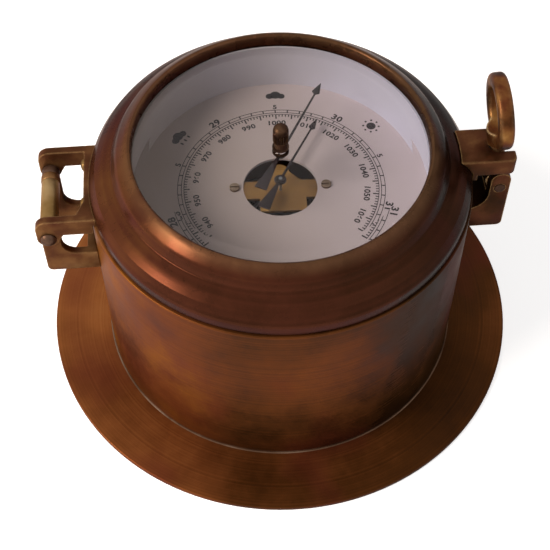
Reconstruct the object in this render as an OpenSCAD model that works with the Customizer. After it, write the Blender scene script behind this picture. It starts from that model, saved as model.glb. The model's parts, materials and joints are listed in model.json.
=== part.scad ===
// Porthole barometer: a brass drum on a wide flange, a glazed door ring on a side hinge,
// a swing bolt with an eye nut that clamps the door, and an aneroid movement under a dial.
// Origin: centre of the flange's underside. +Z is up towards the glass, +X towards the clasp.
// The door, the hands and the bolt are drawn closed, as the object stands at rest.

/* [Case] */
// Outer diameter of the wide flange that the case stands on
flange_d = 180; // [172:1:200]
// Thickness of the flange
flange_t = 2; // [1.5:0.1:3]
// Outer diameter of the drum
body_d = 135; // [124:1:150]
// Wall of the drum
body_wall = 2; // [1.5:0.1:2.4]
// Height of the mouth of the case above the table
mouth_z = 80.2; // [78:0.2:90]

/* [Mouth ring and dial] */
// Clearance between parts that drop into one another
drop_gap = 0.15; // [0.1:0.05:0.3]
// Depth of the turned ring inside the mouth
mouth_ring_h = 12; // [10.5:0.5:16]
// Depth of the dial face below the mouth
dial_depth = 6.7; // [5:0.1:7.5]
// Width of that ring from the drum's bore to the seat of the dial
mouth_ring_w = 9.35; // [8.6:0.05:10]
// Thickness of the dial plate
dial_t = 1; // [0.8:0.1:1.6]
// Width of the ledge under the edge of the dial
dial_ledge = 5; // [3:0.5:7]
// Diameter of the window in the middle of the dial
dial_window_d = 26.5; // [20:0.5:28]
// Distance between the two dial screws
dial_screw_span = 32.6; // [32:0.2:40]
// Diameter of the head of a dial screw
dial_screw_head_d = 3.6; // [3.2:0.1:5]
// Thickness of the white wall that stands on the dial
wall_ring_t = 0.8; // [0.6:0.1:1]

/* [Door ring] */
// Step from the drum's side in to the door ring's side
door_step = 0.8; // [0.4:0.1:1.2]
// Height of the upright part of the door ring's side
door_side_h = 4.2; // [3.6:0.1:4.8]
// Distance from the side in to the edge where the shoulder begins
door_edge_in = 2.3; // [1.8:0.1:3]
// Height of that edge above the foot
door_edge_h = 7.8; // [7:0.1:8.4]
// Width of the raised lip at its foot, from the clear opening to the crease
lip_w = 7.35; // [6.6:0.05:8.2]
// Height of the crease above the foot
crease_h = 11.6; // [11:0.1:12.4]
// Distance from the clear opening to the crest of the raised lip
crest_in = 1.3; // [1.1:0.1:1.7]
// Height of the whole door ring
door_h = 19.1; // [18.6:0.1:20.4]
// Width of the door ring from its side to the clear opening over the glass
door_w = 15.8; // [15:0.1:16.6]
// Step from the glass's rebate out to the bore below the glass
bore_step = 1.85; // [1.6:0.05:2.2]
// Width of the gasket in the foot of the door ring
gasket_w = 3; // [2:0.2:4]
// Depth of the groove that holds the gasket
gasket_groove = 1.2; // [0.8:0.1:1.6]
// Gap between the door ring and the mouth, closed by the gasket
door_seat_gap = 0.4; // [0.2:0.1:0.6]

/* [Glass] */
// Width of the door ring's rim over the edge of the glass
glass_lap = 2.1; // [1.8:0.1:2.4]
// Thickness of the glass in the middle
glass_t = 3.4; // [3:0.1:3.8]
// Thickness of the glass at its edge
glass_edge_t = 2.2; // [1.8:0.1:2.4]
// Width of the bevel round the glass
glass_bevel_w = 8; // [6:0.5:12]
// Height of the underside of the glass above the foot of the door ring
glass_seat_h = 12; // [11.7:0.1:12.2]
// Height of the ring that holds the glass from below
keeper_h = 2; // [1.5:0.1:2.4]

/* [Hinge] */
// Height of the hinge pin and the clasp pin above the table
pin_z = 75; // [72:0.2:84]
// Distance of the hinge pin from the wall of the drum
hinge_reach = 14; // [13.4:0.2:16]
// Diameter of the hinge pin and the clasp pin
pin_d = 4; // [3.6:0.1:4.2]
// Radial clearance of a pin in a hole that turns on it
running_gap = 0.05; // [0.03:0.01:0.08]
// Distance between the outer faces of the two door arms
arm_span = 34.4; // [33:0.2:40]
// Thickness of a door arm
arm_t = 3; // [2.4:0.2:3.6]
// Height of a door arm from its lower to its upper edge
arm_h = 7.2; // [6.6:0.2:8]
// Radius of a door arm's round end about the pin
arm_end_r = 3.9; // [3.6:0.1:4.4]
// Thickness of a cheek of the hinge bracket
cheek_t = 3; // [2.4:0.2:3.4]
// Thickness of the washer beside the rear cheek
washer_t = 3; // [2:0.2:3.4]
// Diameter of the barrel on the hinge pin
barrel_d = 6.4; // [6:0.1:7]
// Diameter of the domed head of the hinge pin
pin_head_d = 5.6; // [5.2:0.1:6.4]
// Height of the hinge bracket's underside above the table
hinge_foot_z = 52.6; // [48:0.2:56]
// Height of the foot of the hinge bracket
hinge_foot_h = 9.2; // [8:0.2:11]

/* [Clasp] */
// Distance of the swing bolt's axis from the wall of the drum
clasp_reach = 10.1; // [9.6:0.1:12]
// Height of the clasp bracket's underside above the table
clasp_foot_z = 54; // [50:0.5:58]
// Height of the foot of the clasp bracket
clasp_foot_h = 10; // [8:0.5:11]
// Lean of the swing bolt towards the door while its nut is slack
bolt_lean = 6; // [0:0.5:7]
// Diameter of the swing bolt's shank
bolt_d = 5; // [4.6:0.1:5.4]
// Width of the swing bolt's eye along its pin
bolt_eye_w = 6; // [5:0.2:6.6]
// Diameter of the swing bolt's eye
bolt_eye_d = 8.6; // [8:0.1:9.2]
// Width of the clasp bracket across its two cheeks
clasp_w = 14; // [13:0.5:18]
// Width of a cheek of the clasp bracket, seen from the side
clasp_leg_w = 7; // [6.4:0.1:7.4]
// Height of the clasp bracket's round top above its pin
clasp_top_h = 7.4; // [6:0.2:7.8]
// Width of the fork on the door
fork_w = 16; // [14:0.5:20]
// Thickness of the fork's prongs
fork_t = 7; // [5.5:0.1:7.4]
// Height of the fork's top above the foot of the door ring
fork_top_h = 9.9; // [9.4:0.1:10.4]
// Distance from the bolt's axis to the ends of the prongs
fork_tip = 4; // [3.6:0.1:4.4]
// Width of the slot between the prongs
fork_slot_w = 6; // [5.8:0.1:6.6]
// Gap between the fork and the middle of the eye nut's foot, backed off by about a turn
nut_gap = 1.7; // [1.6:0.1:2.4]
// Outer diameter of the eye nut's ring
eye_d = 26.4; // [25:0.2:30]
// Diameter of the hole through the eye nut's ring
eye_hole_d = 16.4; // [15:0.2:17.4]
// Thickness of the ring
eye_t = 5.3; // [4.8:0.1:6]
// Diameter of the eye nut's boss
nut_boss_d = 9.2; // [8.8:0.1:10]
// Diameter of the boss where it bears on the fork
nut_seat_d = 7.8; // [7.4:0.1:8.6]
// Distance from the foot of the boss to the centre of the ring
nut_eye_h = 15.2; // [14.8:0.1:18]

/* [Hands] */
// Height of the set hand's plate below the glass
set_hand_drop = 1.2; // [1:0.1:2]
// Length of the set hand from its axis to its tip
set_hand_l = 36.6; // [30:0.2:40]
// Length of the set hand's tail
set_tail_l = 17; // [12:0.2:20]
// Diameter of the knob over the glass
knob_d = 5.4; // [5:0.1:7]
// Height of the knob
knob_h = 10; // [8:0.2:12]
// Diameter of the set hand's spindle
set_spindle_d = 2.4; // [2:0.1:2.6]
// Height of the pointer's plate above the dial
pointer_lift = 3.5; // [3:0.1:5]
// Length of the pointer from its axis to its tip
pointer_l = 32.4; // [28:0.2:36]
// Length of the pointer's tail
pointer_tail_l = 14; // [10:0.2:18]
// Thickness of both hands
hand_t = 0.5; // [0.4:0.05:0.8]
// Angle of the pointer from the +X axis when the barometer reads the day's pressure
pointer_angle = 60.5; // [40:0.5:80]
// Angle of the set hand from the +X axis
set_angle = 61.8; // [40:0.1:80]
// Angle by which the dial is turned in its seat
dial_angle = -1.7; // [-3:0.1:3]

/* [Movement] */
// Diameter of the round plate that carries the movement
plate_d = 58; // [54:1:70]
// Thickness of that plate
plate_t = 2; // [1.5:0.1:3]
// Distance from the plate's upper side to the bridge's underside
movement_h = 26; // [25:0.5:30]
// Thickness of the bridge plate
bridge_t = 1.2; // [1:0.1:1.6]
// Distance from the dial's underside to the bridge's upper side
bridge_drop = 0.5; // [0:0.1:2]
// Diameter of the evacuated capsule
capsule_d = 26; // [22:0.5:26]
// Thickness of the capsule
capsule_h = 6; // [5:0.2:7]
// Height of the stud under the capsule
stud_h = 2; // [1.6:0.1:3]
// Width of the steel main spring
spring_w = 14; // [10:0.5:18]
// Thickness of the steel main spring
spring_t = 1.2; // [1:0.1:1.6]
// Diameter of the pointer's arbor
arbor_d = 1.2; // [1:0.1:1.6]
// Distance of the rocking shaft from the pointer's arbor
rocker_y = 17; // [16.6:0.2:18.5]
// Length of the rocking shaft's arm, from its shaft to the chain
rocker_arm = 7; // [6.4:0.1:7]
// Diameter of the rocking shaft
rocker_d = 1.8; // [1.6:0.1:2.2]

/* [Back] */
// Thickness of the back cover
back_t = 1.5; // [1:0.1:1.8]
// Diameter of the hole for the adjusting screw
adjust_hole_d = 8; // [7:0.5:10]
// Diameter of the adjusting screw
adjust_d = 5; // [4:0.5:6]
// Distance of the back cover's screws from the bore of the drum
back_screw_in = 5.5; // [4.5:0.1:7]
// Number of screws in the back cover
back_screws = 4; // [3:1:6]

/* [Hidden] */
$fn = 64;
eps = 0.01;
fixed_gap = 0.02;
face_gap = 0.3;

body_r = body_d / 2;
bore_r = body_r - body_wall;

dial_z = mouth_z - dial_depth;
dial_under_z = dial_z - dial_t;
dial_seat_r = bore_r - mouth_ring_w;
dial_r = dial_seat_r - drop_gap;
dial_hole_r = 1.25;
dial_head_t = 0.8;
dial_shank_l = 3.2;
slot_w = 0.5;
tap_depth = 4;

foot_z = mouth_z + door_seat_gap;
glass_z = foot_z + glass_seat_h;
glass_top_z = glass_z + glass_t;
glass_edge_z = glass_z + glass_edge_t;
door_r = body_r - door_step;
door_edge_r = door_r - door_edge_in;
sight_r = door_r - door_w;
crease_r = sight_r + lip_w;
crest_r = sight_r + crest_in;
crest_z = foot_z + door_h;
lip_round = 1.1;
brim_w = 4.3;
brim_drop = 3.7;
lip_play = 0.4;
lip_z = glass_edge_z + lip_play;
shoulder_swell = 0.5;
glass_r = sight_r + glass_lap;
glass_rebate_r = glass_r + drop_gap;
glass_hole_r = 2.3;
door_bore_r = glass_rebate_r + bore_step;
gasket_wall = 3.4;
gasket_r = door_bore_r + gasket_wall;
gasket_z = foot_z + gasket_groove;
wall_in_r = sight_r - face_gap;
wall_out_r = wall_in_r + wall_ring_t;
wall_foot_t = 1;
keeper_play = 0.6;

pin_r = pin_d / 2;
turn_r = pin_r + running_gap;
hold_r = pin_r + fixed_gap;

hinge_x = -(body_r + hinge_reach);
arm_out_y = arm_span / 2;
arm_in_y = arm_out_y - arm_t;
arm_low_z = pin_z + 1.6;
arm_top_z = arm_low_z + arm_h;
arm_corner_r = 4.2;
web_t = 2;
gusset_t = 2.6;
gusset_l = 8;
drum_gap = 0.5;
front_cheek_y = -(arm_in_y - face_gap);
rear_cheek_y = arm_in_y - face_gap - washer_t - fixed_gap;
barrel_y0 = front_cheek_y + cheek_t + fixed_gap;
barrel_y1 = rear_cheek_y - cheek_t - fixed_gap;
barrel_r = barrel_d / 2;
hinge_foot_top_z = hinge_foot_z + hinge_foot_h;
cheek_end_r = 3.4;
hinge_notch_r = 5.3;
cast_corner = 2;
cast_root = 4;
bracket_base_t = 2.4;

clasp_x = body_r + clasp_reach;
bolt_r = bolt_d / 2;
bolt_eye_r = bolt_eye_d / 2;
clasp_slot_w = bolt_eye_w + 2 * face_gap;
leg_r = clasp_leg_w / 2;
clasp_foot_top_z = clasp_foot_z + clasp_foot_h;
clasp_notch_r = 8;
fork_top_z = foot_z + fork_top_h;
fork_low_z = fork_top_z - fork_t;
fork_slot_x = clasp_x - (fork_top_z - pin_z) * tan(bolt_lean) - 0.1;
nut_up = (fork_top_z + nut_gap - pin_z) / cos(bolt_lean);
eye_up = nut_up + nut_eye_h;
eye_r = eye_d / 2;
eye_hole_r = eye_hole_d / 2;
eye_round = 1.6;
bolt_l = eye_up - eye_hole_r - 1.6;
nut_bore_end = bolt_l + 0.4;
boss_rise = 1.8;
eye_skim = 0.05;
fork_root = 12;
fork_base_t = 1.8;
slot_back = 1;

set_hand_z = glass_z - set_hand_drop;
set_spindle_r = set_spindle_d / 2;
bush_r = glass_hole_r - fixed_gap;
bush_rim_r = 2.9;
bush_rim_t = 0.4;
knob_r = knob_d / 2;
knob_z = glass_top_z + bush_rim_t + 0.1;
spindle_top_z = knob_z + 3;
pointer_z = dial_z + pointer_lift;
arbor_r = arbor_d / 2;
hub_r = 2.2;

bridge_top_z = dial_under_z - bridge_drop;
bridge_z = bridge_top_z - bridge_t;
plate_top_z = bridge_z - movement_h;
plate_z = plate_top_z - plate_t;
pillar_r = 2.8;
spigot_r = 2.2;
pillar_x = dial_screw_span / 2;
capsule_z = plate_top_z + stud_h;
capsule_top_z = capsule_z + capsule_h;
capsule_r = capsule_d / 2;
stud_r = 3;
spring_top_z = capsule_top_z + stud_h + 1.4;
spring_back_y = capsule_r + 4;
spring_foot_l = 2.4;
spring_front_y = -7;
chain_z = bridge_z - 3.4;
rocker_z = chain_z - rocker_arm;
rocker_r = rocker_d / 2;
cock_x = 11.5;
cock_t = 1.4;
cock_w = 4.4;
chain_w = 0.5;
chain_x = arbor_r + face_gap + chain_w / 2;
crank_l = 4;
crank_x = 4;
link_r = 0.5;
link_y = -(rocker_y - crank_l);
lever_y = 6;
lever_z = spring_top_z + spring_t;
lever_h = 1;

adjust_y = -22;
adjust_r = adjust_d / 2;
adjust_clear = 6;
back_z = flange_t - back_t;
back_r = bore_r - drop_gap;
lug_h = 5;
lug_r = back_screw_in - fixed_gap;
back_shank_r = 1.25;
back_shank_l = 4;
back_head_r = 2.2;

brass = "darkgoldenrod";
old_brass = "saddlebrown";

// Ring with flat ends, standing on z0
module ring(r_out, r_in, z0, h) {
    translate([0, 0, z0])
        difference() {
            cylinder(r = r_out, h = h);
            translate([0, 0, -eps]) cylinder(r = r_in, h = h + 2 * eps);
        }
}

// Plate cut from a side view drawn in X and Z, from y0 to y1
module side_plate(y0, y1) {
    translate([0, y1, 0])
        rotate([90, 0, 0])
            linear_extrude(y1 - y0) children();
}

// Round bar along Y, from y0 to y1
module cross_bar(x, z, r, y0, y1) {
    translate([x, y0, z])
        rotate([-90, 0, 0])
            cylinder(r = r, h = y1 - y0);
}

module base_flange() {
    color(old_brass) ring(flange_d / 2, bore_r, 0, flange_t);
}

module drum() {
    color(old_brass) ring(body_r, bore_r, flange_t, mouth_z - flange_t);
}

// Turned ring in the mouth: it stiffens the drum and its ledge carries the dial
module mouth_ring() {
    color(brass)
        difference() {
            ring(bore_r - fixed_gap, dial_r - dial_ledge, mouth_z - mouth_ring_h, mouth_ring_h);
            translate([0, 0, dial_under_z])
                cylinder(r = dial_seat_r, h = dial_depth + dial_t + eps);
        }
}

module dial_place() {
    rotate([0, 0, dial_angle]) children();
}

module at_dial_screws() {
    for (side = [-1, 1])
        dial_place() translate([side * pillar_x, 0, 0]) children();
}

module dial() {
    color("white")
        difference() {
            ring(dial_r, dial_window_d / 2, dial_under_z, dial_t);
            at_dial_screws()
                translate([0, 0, dial_under_z - eps])
                    cylinder(r = dial_hole_r, h = dial_t + 2 * eps);
        }
}

// Two slotted screws through the dial into the pillars of the movement
module dial_screws() {
    head_r = dial_screw_head_d / 2;
    color(brass)
        at_dial_screws()
            difference() {
                union() {
                    translate([0, 0, dial_z]) cylinder(r = head_r, h = dial_head_t);
                    translate([0, 0, dial_z - dial_shank_l])
                        cylinder(r = dial_hole_r - 0.1, h = dial_shank_l);
                }
                translate([-head_r, -slot_w / 2, dial_z + dial_head_t / 2])
                    cube([2 * head_r, slot_w, dial_head_t]);
            }
}

// White wall between the dial and the glass, with a foot that lies on the dial
module wall_ring() {
    color("whitesmoke")
        union() {
            ring(wall_out_r, wall_in_r, dial_z, glass_z - face_gap - dial_z);
            ring(dial_r, wall_in_r, dial_z, wall_foot_t);
        }
}

// Outline of the door ring's outside, from its foot over the shoulder to the lip
module door_outside() {
    polygon([
        [0, foot_z],
        [door_r, foot_z],
        [door_r, foot_z + door_side_h],
        [door_edge_r, foot_z + door_edge_h],
        [(door_edge_r + crease_r) / 2 + shoulder_swell, foot_z + (door_edge_h + crease_h) / 2 + shoulder_swell],
        [crease_r, foot_z + crease_h],
        [crest_r + brim_w, crest_z - brim_drop],
        [crest_r + lip_round * 0.8, crest_z - lip_round * 0.4],
        [crest_r, crest_z],
        [crest_r - lip_round * 0.9, crest_z - lip_round * 0.5],
        [sight_r, crest_z - lip_round * 1.6],
        [sight_r, lip_z],
        [0, lip_z]
    ]);
}

module door_envelope() {
    rotate_extrude($fn = 96) door_outside();
}

// The door ring with the top of the drum and its clearance, as one turned shape
module door_and_drum() {
    depth = 2 * arm_h;
    rotate_extrude($fn = 96)
        union() {
            door_outside();
            translate([0, foot_z - depth]) square([body_r + drum_gap, depth + eps]);
        }
}

module door_ring() {
    color(old_brass)
        rotate_extrude($fn = 96)
            difference() {
                door_outside();
                translate([0, foot_z - eps]) square([door_bore_r, glass_seat_h + eps]);
                translate([0, glass_z - eps]) square([glass_rebate_r, lip_z - glass_z + 2 * eps]);
                translate([0, glass_z]) square([sight_r, crest_z]);
                translate([gasket_r, foot_z - eps]) square([gasket_w, gasket_groove + eps]);
            }
}

// Soft ring in the groove of the door ring's foot: it closes the gap to the mouth
module gasket() {
    color("dimgray")
        ring(gasket_r + gasket_w, gasket_r, mouth_z, gasket_z - mouth_z);
}

module glass() {
    color("lightcyan", 0.35)
        difference() {
            rotate_extrude($fn = 96)
                polygon([
                    [0, glass_z],
                    [glass_r, glass_z],
                    [glass_r, glass_edge_z],
                    [glass_r - glass_bevel_w, glass_top_z],
                    [0, glass_top_z]
                ]);
            translate([0, 0, glass_z - eps]) cylinder(r = glass_hole_r, h = glass_t + 2 * eps);
        }
}

// Ring that holds the glass up in its rebate
module glass_keeper() {
    color(brass)
        ring(door_bore_r - fixed_gap, wall_out_r + keeper_play, glass_z - keeper_h, keeper_h);
}

// Side view of a door arm: a bar from the door that drops at its end to take the pin
module arm_side() {
    translate([hinge_x, pin_z]) circle(r = arm_end_r);
    translate([hinge_x - arm_end_r, pin_z])
        square([arm_end_r * 2, arm_top_z - arm_corner_r - pin_z]);
    translate([hinge_x - arm_end_r + arm_corner_r, arm_top_z - arm_corner_r])
        circle(r = arm_corner_r);
    translate([hinge_x - arm_end_r + arm_corner_r, arm_low_z])
        square([hinge_reach + arm_end_r, arm_h]);
    polygon([
        [hinge_x, pin_z],
        [hinge_x + arm_end_r * 0.78, pin_z - arm_end_r * 0.58],
        [hinge_x + arm_end_r * 1.5, arm_low_z + 1],
        [hinge_x, arm_low_z + 1]
    ]);
}

// Casting on the door: two arms on a curved web that is brazed to the door ring
module door_hinge_lug() {
    web_x = -(door_r + web_t);
    color(brass)
        difference() {
            union() {
                for (y0 = [-arm_out_y, arm_in_y])
                    side_plate(y0, y0 + arm_t) arm_side();
                translate([web_x, -arm_out_y, arm_low_z])
                    cube([door_r, arm_span, arm_h]);
                translate([0, 0, arm_low_z])
                    linear_extrude(arm_h)
                        polygon([
                            [web_x + 1, -arm_in_y - 1],
                            [web_x - gusset_t, -arm_in_y - 1],
                            [web_x - gusset_t, -arm_in_y],
                            [web_x + 1, -arm_in_y + gusset_l]
                        ]);
            }
            cross_bar(hinge_x, pin_z, turn_r, -arm_span, arm_span);
            door_and_drum();
        }
}

// Fork on the door: a plate with an open slot that the swing bolt lies in
module door_fork() {
    tip_x = clasp_x + fork_tip;
    corner = 2.2;
    color(brass)
        difference() {
            union() {
                translate([0, 0, fork_low_z])
                    linear_extrude(fork_t)
                        difference() {
                            union() {
                                translate([door_r - fork_root, -fork_w / 2])
                                    square([tip_x - door_r + fork_root - corner, fork_w]);
                                translate([door_r - fork_root, -fork_w / 2 + corner])
                                    square([tip_x - door_r + fork_root, fork_w - 2 * corner]);
                                for (side = [-1, 1])
                                    translate([tip_x - corner, side * (fork_w / 2 - corner)])
                                        circle(r = corner);
                            }
                            translate([fork_slot_x, 0]) circle(r = fork_slot_w / 2);
                            translate([fork_slot_x, -fork_slot_w / 2])
                                square([tip_x - fork_slot_x + 1, fork_slot_w]);
                        }
                translate([door_r - cast_root, -fork_w / 2, foot_z + door_seat_gap])
                    cube([cast_root + fork_base_t, fork_w, fork_low_z - foot_z]);
            }
            door_envelope();
        }
}

// Side view of a hinge bracket cheek: a foot on the drum and a leg with a round knuckle
module cheek_side() {
    outer_x = hinge_x - cheek_end_r;
    inner_x = hinge_x + cheek_end_r;
    side_w = hinge_reach + cheek_end_r + cast_root;
    corner = cast_corner;
    difference() {
        union() {
            translate([hinge_x, pin_z]) circle(r = cheek_end_r);
            translate([outer_x, hinge_foot_z + corner])
                square([side_w, pin_z - hinge_foot_z - corner]);
            translate([outer_x + corner, hinge_foot_z]) square([side_w - corner, hinge_foot_h]);
            translate([outer_x + corner, hinge_foot_z + corner]) circle(r = corner);
        }
        translate([inner_x + hinge_notch_r, hinge_foot_top_z + hinge_notch_r])
            circle(r = hinge_notch_r);
        translate([inner_x, hinge_foot_top_z + hinge_notch_r]) square([side_w, pin_z]);
        translate([inner_x + hinge_notch_r, hinge_foot_top_z])
            square([side_w, hinge_notch_r + corner]);
    }
}

// Casting on the drum: two cheeks that hold the hinge pin, on a curved base plate
module hinge_bracket() {
    color(brass)
        difference() {
            union() {
                side_plate(front_cheek_y, front_cheek_y + cheek_t) cheek_side();
                side_plate(rear_cheek_y - cheek_t, rear_cheek_y) cheek_side();
                translate([-(body_r + bracket_base_t), front_cheek_y + eps, hinge_foot_z])
                    cube([
                        bracket_base_t + cast_root,
                        rear_cheek_y - front_cheek_y - 2 * eps,
                        hinge_foot_h
                    ]);
            }
            cross_bar(hinge_x, pin_z, hold_r, -arm_span, arm_span);
            translate([0, 0, hinge_foot_z - 1]) cylinder(r = body_r, h = mouth_z);
        }
}

// Pin with a domed head at the front and a plain end at the rear
module hinge_pin() {
    head_r = pin_head_d / 2;
    head_y = -arm_out_y - face_gap;
    dome_h = 1.8;
    dome_r = (head_r * head_r + dome_h * dome_h) / (2 * dome_h);
    color("sienna")
        union() {
            cross_bar(hinge_x, pin_z, pin_r, head_y - eps, arm_out_y + 0.8);
            intersection() {
                translate([hinge_x, head_y - dome_h + dome_r, pin_z]) sphere(r = dome_r);
                cross_bar(hinge_x, pin_z, head_r + 1, head_y - dome_h - 1, head_y);
            }
        }
}

module hinge_barrel() {
    color("goldenrod")
        difference() {
            cross_bar(hinge_x, pin_z, barrel_r, barrel_y0, barrel_y1);
            cross_bar(hinge_x, pin_z, hold_r, barrel_y0 - 1, barrel_y1 + 1);
        }
}

module hinge_washer() {
    washer_y = rear_cheek_y + fixed_gap;
    color("goldenrod")
        difference() {
            cross_bar(hinge_x, pin_z, barrel_r, washer_y, washer_y + washer_t);
            cross_bar(hinge_x, pin_z, hold_r, washer_y - 1, washer_y + washer_t + 1);
        }
}

// Side view of the clasp bracket: an upright leg with a round top on a foot
module clasp_side() {
    corner = cast_corner;
    left_x = clasp_x - leg_r;
    cut_w = clasp_reach + clasp_notch_r;
    difference() {
        union() {
            translate([clasp_x, pin_z + clasp_top_h - leg_r]) circle(r = leg_r);
            translate([left_x - clasp_notch_r, clasp_foot_z + corner])
                square([clasp_leg_w + clasp_notch_r, pin_z + clasp_top_h - leg_r - clasp_foot_z - corner]);
            translate([body_r - cast_root, clasp_foot_z])
                square([clasp_reach + leg_r + cast_root - corner, clasp_foot_h]);
            translate([clasp_x + leg_r - corner, clasp_foot_z + corner]) circle(r = corner);
        }
        translate([left_x - clasp_notch_r, clasp_foot_top_z + clasp_notch_r]) circle(r = clasp_notch_r);
        translate([left_x - cut_w, clasp_foot_top_z + clasp_notch_r])
            square([cut_w, pin_z + clasp_top_h - clasp_foot_top_z]);
        translate([left_x - clasp_notch_r - cut_w, clasp_foot_top_z]) square([cut_w, clasp_notch_r + corner]);
    }
}

// Casting on the drum: a clevis that the swing bolt turns in
module clasp_bracket() {
    slot_x = clasp_x - bolt_eye_r - slot_back;
    color(brass)
        difference() {
            side_plate(-clasp_w / 2, clasp_w / 2) clasp_side();
            translate([slot_x, -clasp_slot_w / 2, pin_z - bolt_eye_r - 2 * face_gap])
                cube([clasp_leg_w + bolt_eye_d, clasp_slot_w, pin_z]);
            cross_bar(clasp_x, pin_z, hold_r, -clasp_w, clasp_w);
            translate([0, 0, clasp_foot_z - 1]) cylinder(r = body_r, h = mouth_z);
        }
}

module clasp_pin() {
    color("sienna")
        cross_bar(clasp_x, pin_z, pin_r, -clasp_w / 2 - 0.3, clasp_w / 2 + 0.3);
}

// Place on the leaning bolt, at a distance from its pin
module on_bolt(up) {
    translate([clasp_x, 0, pin_z])
        rotate([0, -bolt_lean, 0])
            translate([0, 0, up]) children();
}

// Bolt with an eye at its foot: it swings out of the fork once the nut is slack
module swing_bolt() {
    color("peru")
        difference() {
            union() {
                cross_bar(clasp_x, pin_z, bolt_eye_r, -bolt_eye_w / 2, bolt_eye_w / 2);
                on_bolt(0) cylinder(r = bolt_r, h = bolt_l);
            }
            cross_bar(clasp_x, pin_z, turn_r, -clasp_w, clasp_w);
        }
}

// Half of the eye's section, with round edges
module eye_section() {
    mid = (eye_r + eye_hole_r) / 2;
    half_w = (eye_r - eye_hole_r) / 2;
    translate([mid - half_w, -eye_t / 2 + eye_round])
        square([2 * half_w, eye_t - 2 * eye_round]);
    translate([mid - half_w + eye_round, -eye_t / 2])
        square([2 * half_w - 2 * eye_round, eye_t]);
    for (side = [-1, 1], end = [-1, 1])
        translate([mid + side * (half_w - eye_round), end * (eye_t / 2 - eye_round)])
            circle(r = eye_round);
}

// Eye nut: a boss with a blind threaded hole, and a ring to turn it by
module eye_nut() {
    color("goldenrod")
        difference() {
            union() {
                on_bolt(eye_up)
                    rotate([0, 90, 0])
                        rotate_extrude($fn = 96) eye_section();
                on_bolt(nut_up)
                    cylinder(r1 = nut_seat_d / 2, r2 = nut_boss_d / 2, h = nut_eye_h - eye_hole_r + boss_rise);
            }
            on_bolt(eye_up)
                rotate([0, 90, 0])
                    cylinder(r = eye_hole_r + eye_skim, h = nut_boss_d * 2, center = true);
            on_bolt(nut_up - 1) cylinder(r = bolt_r + running_gap, h = nut_bore_end - nut_up + 1);
        }
}

// Flanged bush in the hole of the glass: the set hand's spindle turns in it
module spindle_bush() {
    color(brass)
        difference() {
            union() {
                translate([0, 0, glass_z - bush_rim_t])
                    cylinder(r = bush_rim_r, h = bush_rim_t);
                translate([0, 0, glass_z - eps]) cylinder(r = bush_r, h = glass_t + 2 * eps);
                translate([0, 0, glass_top_z]) cylinder(r = bush_rim_r, h = bush_rim_t);
            }
            translate([0, 0, glass_z - 2])
                cylinder(r = set_spindle_r + running_gap, h = glass_t + 4);
        }
}

module set_spindle() {
    low_z = set_hand_z - hand_t - 0.6;
    color(brass)
        translate([0, 0, low_z]) cylinder(r = set_spindle_r, h = spindle_top_z - low_z);
}

// Hand with an arrow tip and a flared tail, pointing along +X, with its foot at z = 0
module hand(long, tail, tip_w, tail_w) {
    neck_l = 6;
    barb_l = 5;
    union() {
        cylinder(r = hub_r, h = hand_t);
        linear_extrude(hand_t)
            polygon([
                [-tail, -tail_w / 2],
                [-tail, tail_w / 2],
                [-hub_r + 0.3, 0.5],
                [long - neck_l, 0.3],
                [long - barb_l, tip_w / 2],
                [long, 0],
                [long - barb_l, -tip_w / 2],
                [long - neck_l, -0.3],
                [-hub_r + 0.3, -0.5]
            ]);
    }
}

module set_hand() {
    color("dimgray")
        rotate([0, 0, set_angle])
            translate([0, 0, set_hand_z - hand_t])
                difference() {
                    hand(set_hand_l, set_tail_l, 3, 4.4);
                    translate([0, 0, -1]) cylinder(r = set_spindle_r + fixed_gap, h = hand_t + 2);
                }
}

// Knob over the glass: a slotted foot that grips the spindle, under a domed grip
module set_knob() {
    foot_r = 0.8 * knob_r;
    foot_h = 2.6;
    grip_z = knob_z + foot_h - eps;
    dome_z = knob_z + knob_h - 0.6 * knob_r;
    color("goldenrod")
        difference() {
            union() {
                translate([0, 0, knob_z]) cylinder(r = foot_r, h = foot_h);
                translate([0, 0, grip_z]) cylinder(r = knob_r, h = dome_z - grip_z);
                intersection() {
                    translate([0, 0, knob_z + knob_h - knob_r]) sphere(r = knob_r);
                    translate([0, 0, dome_z - 0.1 * knob_r]) cylinder(r = knob_r, h = knob_r);
                }
            }
            translate([0, 0, knob_z - 1])
                cylinder(r = set_spindle_r + fixed_gap, h = spindle_top_z + 0.1 - knob_z + 1);
            translate([-knob_r, -slot_w / 2, knob_z - 1])
                cube([2 * knob_r, slot_w, foot_h]);
        }
}

module pointer() {
    color("dimgray")
        rotate([0, 0, pointer_angle])
            translate([0, 0, pointer_z])
                difference() {
                    union() {
                        hand(pointer_l, pointer_tail_l, 2.6, 4.8);
                        cylinder(r = hub_r * 0.8, h = hand_t + 0.5);
                    }
                    translate([0, 0, -1]) cylinder(r = arbor_r + fixed_gap, h = 4);
                }
}

// Steel arbor that carries the pointer and winds up the chain
module pointer_arbor() {
    low_z = chain_z - 5;
    color("silver")
        union() {
            translate([0, 0, low_z]) cylinder(r = arbor_r, h = pointer_z + hand_t + 0.8 - low_z);
            translate([0, 0, low_z + 0.6]) cylinder(r = arbor_r + 0.6, h = 0.8);
        }
}

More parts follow.
